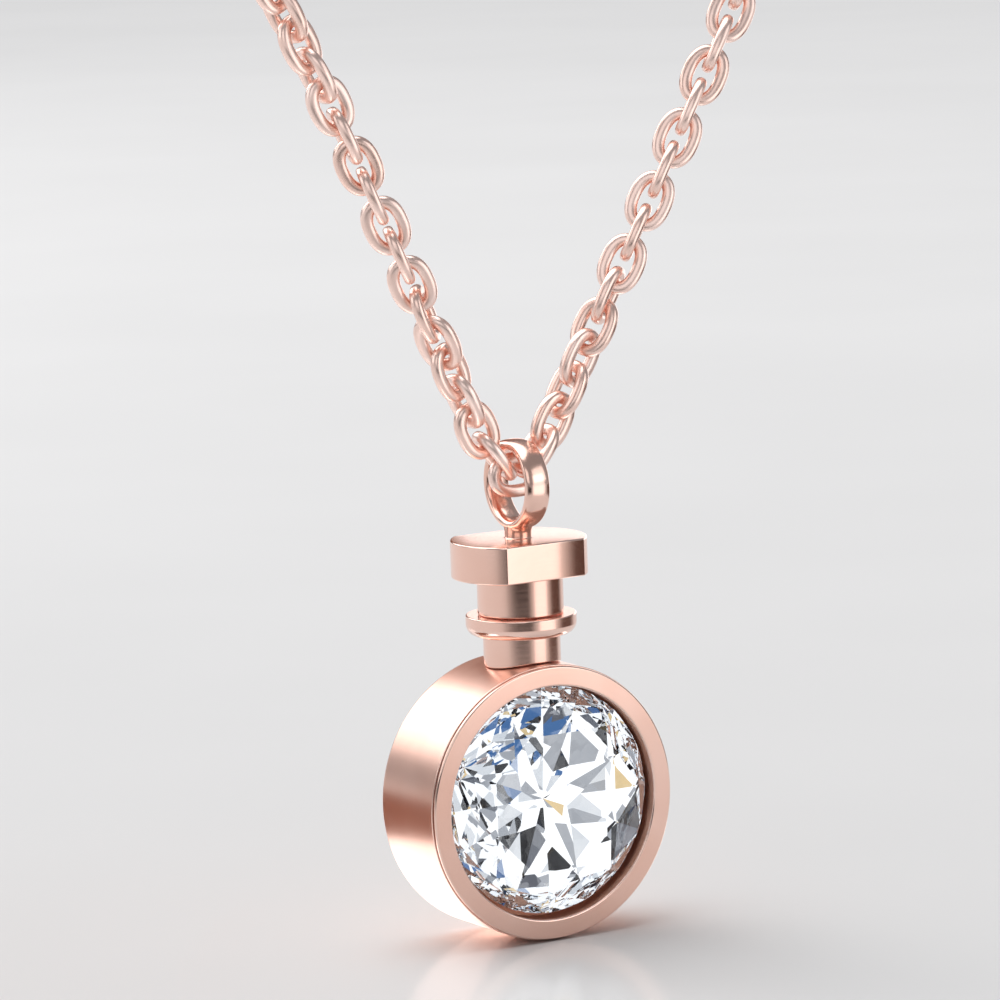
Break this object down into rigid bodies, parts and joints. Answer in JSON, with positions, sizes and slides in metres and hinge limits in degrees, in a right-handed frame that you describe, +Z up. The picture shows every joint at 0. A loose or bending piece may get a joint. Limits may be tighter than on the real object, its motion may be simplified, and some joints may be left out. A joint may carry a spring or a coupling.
{
  "type": "bottle pendant necklace",
  "caption": "Perfume bottle pendant: a round drum with a large clear cut stone, a stepped neck and a capped stopper, hanging from its eye ring on a closed cable chain.",
  "frame": {"origin": "the middle of the clasp at the nape, where the necklace lies on the back of the neck", "axes": "+Z up, -Y forwards, the way the stone faces, +X to the wearer's left"},
  "size_m": [0.1179, 0.1044, 0.1036],
  "materials": {
    "rose_gold_drum": "satin polished, rose gold coloured",
    "rose_gold_bezel": "satin polished, rose gold coloured",
    "clear_stone": "cut and polished",
    "rose_gold_neck": "turned and polished, rose gold coloured",
    "rose_gold_stopper": "satin polished, rose gold coloured",
    "rose_gold_chain": "satin polished, rose gold coloured",
    "rose_gold_clasp": "polished, rose gold coloured"
  },
  "bodies": {
    "necklace": {"chain_left": "rose_gold_chain", "chain_right": "rose_gold_chain", "clasp": "rose_gold_clasp"},
    "pendant": {"drum_case": "rose_gold_drum", "bezel": "rose_gold_bezel", "stone": "clear_stone", "neck": "rose_gold_neck", "stopper": "rose_gold_stopper"}
  },
  "joints": [
    {"name": "pendant_swing", "type": "hinge", "parent": "necklace", "child": "pendant", "pos_m": [0, -0.1, -0.078], "axis": [1, 0, 0], "range_deg": [-90, 90]}
  ]
}
